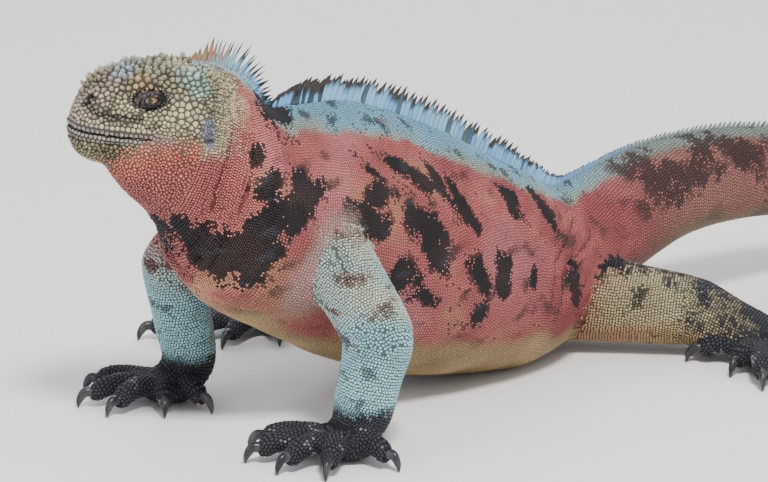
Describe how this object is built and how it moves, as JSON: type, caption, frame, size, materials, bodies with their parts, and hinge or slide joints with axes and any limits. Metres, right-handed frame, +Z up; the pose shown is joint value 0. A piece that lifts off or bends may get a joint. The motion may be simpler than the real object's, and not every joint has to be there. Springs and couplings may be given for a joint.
{
  "type": "marine iguana",
  "caption": "Life-size still model of an adult male marine iguana, chest raised on straight forelegs, belly and tail on the ground, spiny crest along head, back and tail.",
  "frame": {"origin": "on the ground, at the middle of the length and width of the whole animal", "axes": "+X towards the tail tip, -X towards the head, -Y the animal's left side, +Z up"},
  "size_m": [0.8672, 0.337, 0.2053],
  "materials": {
    "head_hide": "dry knobbly scales, grey-green with pale plates",
    "body_hide": "fine dry scales, rose red with black blotches and a blue-green back",
    "tail_hide": "fine dry scales, dull rose brown",
    "arm_hide": "fine dry scales, blue-green with rusty stains",
    "thigh_hide": "pale green bead scales on dark skin",
    "foot_hide": "near-black slate hide",
    "claw": "dark horn, worn smooth",
    "eye": "wet brown eye with a round pupil"
  },
  "bodies": {
    "root": {"head": "head_hide", "neck": "body_hide", "left_eye": "eye", "right_eye": "eye", "torso": "body_hide", "tail_1": "tail_hide", "tail_2": "tail_hide", "tail_3": "tail_hide", "tail_4": "tail_hide", "tail_5": "tail_hide", "left_upper_arm": "arm_hide", "left_forearm": "arm_hide", "left_hand": "foot_hide", "left_hand_claw_1": "claw", "left_hand_claw_2": "claw", "left_hand_claw_3": "claw", "left_hand_claw_4": "claw", "left_hand_claw_5": "claw", "right_upper_arm": "arm_hide", "right_forearm": "arm_hide", "right_hand": "foot_hide", "right_hand_claw_1": "claw", "right_hand_claw_2": "claw", "right_hand_claw_3": "claw", "right_hand_claw_4": "claw", "right_hand_claw_5": "claw", "left_thigh": "thigh_hide", "left_shank": "foot_hide", "left_foot": "foot_hide", "left_foot_claw_1": "claw", "left_foot_claw_2": "claw", "left_foot_claw_3": "claw", "left_foot_claw_4": "claw", "left_foot_claw_5": "claw", "right_thigh": "thigh_hide", "right_shank": "foot_hide", "right_foot": "foot_hide", "right_foot_claw_1": "claw", "right_foot_claw_2": "claw", "right_foot_claw_3": "claw", "right_foot_claw_4": "claw", "right_foot_claw_5": "claw"}
  },
  "joints": []
}
